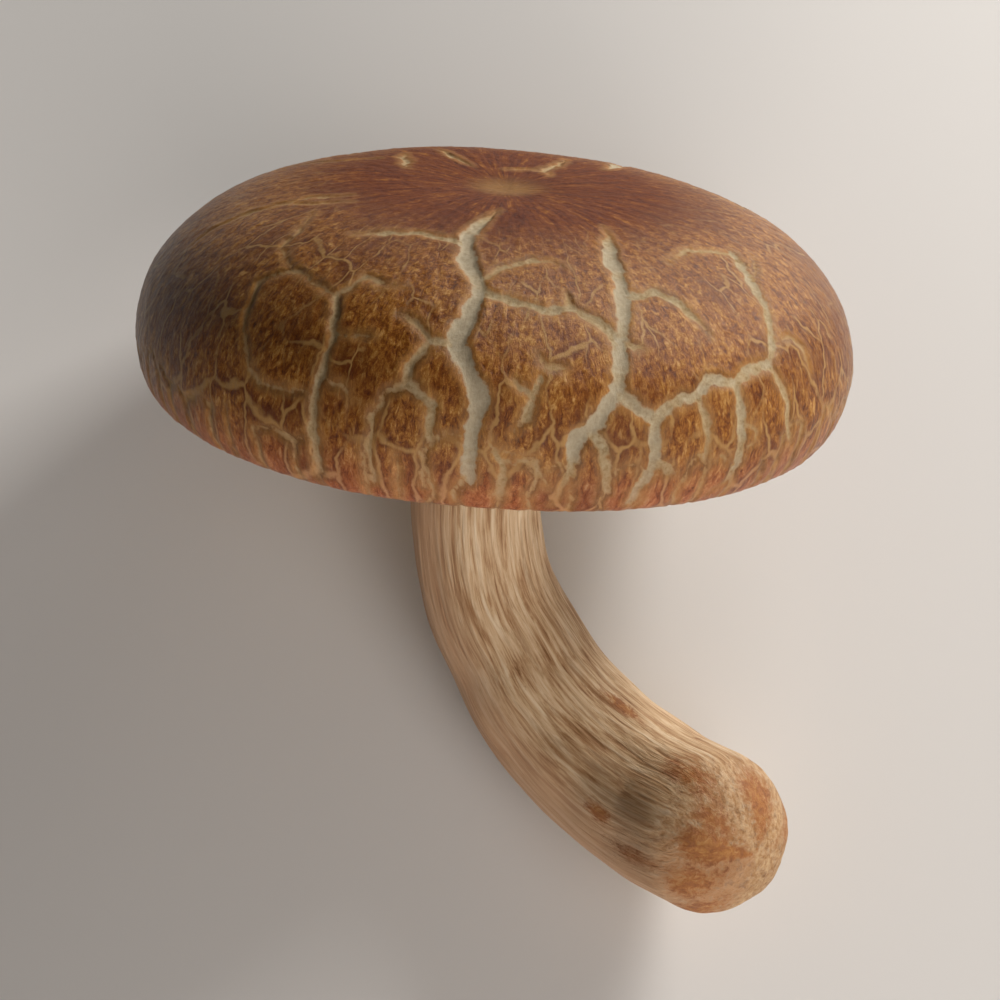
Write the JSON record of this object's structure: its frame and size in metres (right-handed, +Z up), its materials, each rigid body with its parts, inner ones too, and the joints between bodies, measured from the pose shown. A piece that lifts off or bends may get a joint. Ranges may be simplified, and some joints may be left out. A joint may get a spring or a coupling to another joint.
{
  "type": "shiitake mushroom",
  "caption": "Shiitake mushroom lying on its side: a broad brown cap with a net of pale cracks, thin gills underneath and a bent stem with a rounded end.",
  "frame": {"origin": "on the table under the middle of the mushroom's bounding box, at the height of its two resting flats", "axes": "+Z up from the table, +Y from the stem's end towards the cap, +X to the side towards which the stem bends"},
  "size_m": [0.07, 0.0794, 0.0576],
  "materials": {
    "cap_skin": "matte dried skin, amber and dark brown, reddish at the crown and the margin, with cream cracks",
    "flesh": "matte raw flesh, cream",
    "gills": "matte velvety blades, cream, a little browner at the margin",
    "stem": "matte fibrous skin, cream and tan with brown streaks and a rusty end"
  },
  "bodies": {
    "root": {"mushroom": "cap_skin"}
  },
  "joints": []
}
